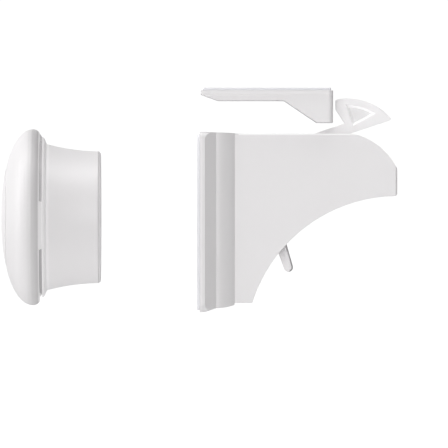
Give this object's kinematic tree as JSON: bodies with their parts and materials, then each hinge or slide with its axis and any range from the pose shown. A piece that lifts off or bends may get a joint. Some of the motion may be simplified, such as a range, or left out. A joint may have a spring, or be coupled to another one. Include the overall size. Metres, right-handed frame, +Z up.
{
  "type": "cabinet safety lock",
  "caption": "Magnetic cabinet safety lock: adhesive latch with a sprung hook lever and an off toggle, a wedge catch for the cabinet, and a round magnetic key.",
  "frame": {"origin": "centre of the latch's adhesive face, where it is stuck to the inside of the cabinet's door", "axes": "+X into the cabinet, away from the door and from the key; +Z up, towards the cabinet's top and the catch; the lever and the toggle turn about Y"},
  "size_m": [0.1164, 0.0518, 0.0659],
  "materials": {
    "white_gloss_plastic": "moulded, semi-gloss",
    "white_matte_plastic": "moulded, plain",
    "adhesive_foam": "closed-cell foam tape",
    "zinc_plated_steel": "zinc plated",
    "plain_steel": "drawn",
    "nickel_plated_magnet": "nickel plated"
  },
  "bodies": {
    "latch": {"latch_housing": "white_gloss_plastic", "back_plate": "white_matte_plastic", "back_plate_screws": "zinc_plated_steel", "latch_adhesive_pad": "adhesive_foam", "pivot_pin": "plain_steel", "return_spring": "plain_steel"},
    "hook_lever": {"hook_lever": "white_gloss_plastic", "lever_magnet": "nickel_plated_magnet", "magnet_cap": "white_matte_plastic"},
    "toggle": {"toggle_lever": "white_gloss_plastic"},
    "catch": {"catch_body": "white_gloss_plastic", "catch_adhesive_pad": "adhesive_foam"},
    "key": {"key_cap": "white_gloss_plastic", "key_sleeve": "white_gloss_plastic", "key_magnet": "nickel_plated_magnet", "key_backing_plate": "zinc_plated_steel", "key_retainer": "white_matte_plastic", "key_screws": "zinc_plated_steel"}
  },
  "joints": [
    {"name": "hook_hinge", "type": "hinge", "parent": "latch", "child": "hook_lever", "pos_m": [0.0074, 0, 0.0135], "axis": [0, 1, 0], "range_deg": [0, 14], "stiffness_Nm_per_rad": 0.02, "springref_deg": -34.38, "deforming": ["return_spring"]},
    {"name": "toggle_hinge", "type": "hinge", "parent": "latch", "child": "toggle", "pos_m": [0.0235, 0, -0.00301], "axis": [0, 1, 0], "range_deg": [0, 24]},
    {"name": "door_play", "type": "slide", "parent": "latch", "child": "catch", "axis": [1, 0, 0], "range_m": [0, 0.0005]},
    {"name": "key_slide", "type": "slide", "parent": "latch", "child": "key", "axis": [1, 0, 0], "range_m": [-0.03, 0.0103]}
  ]
}
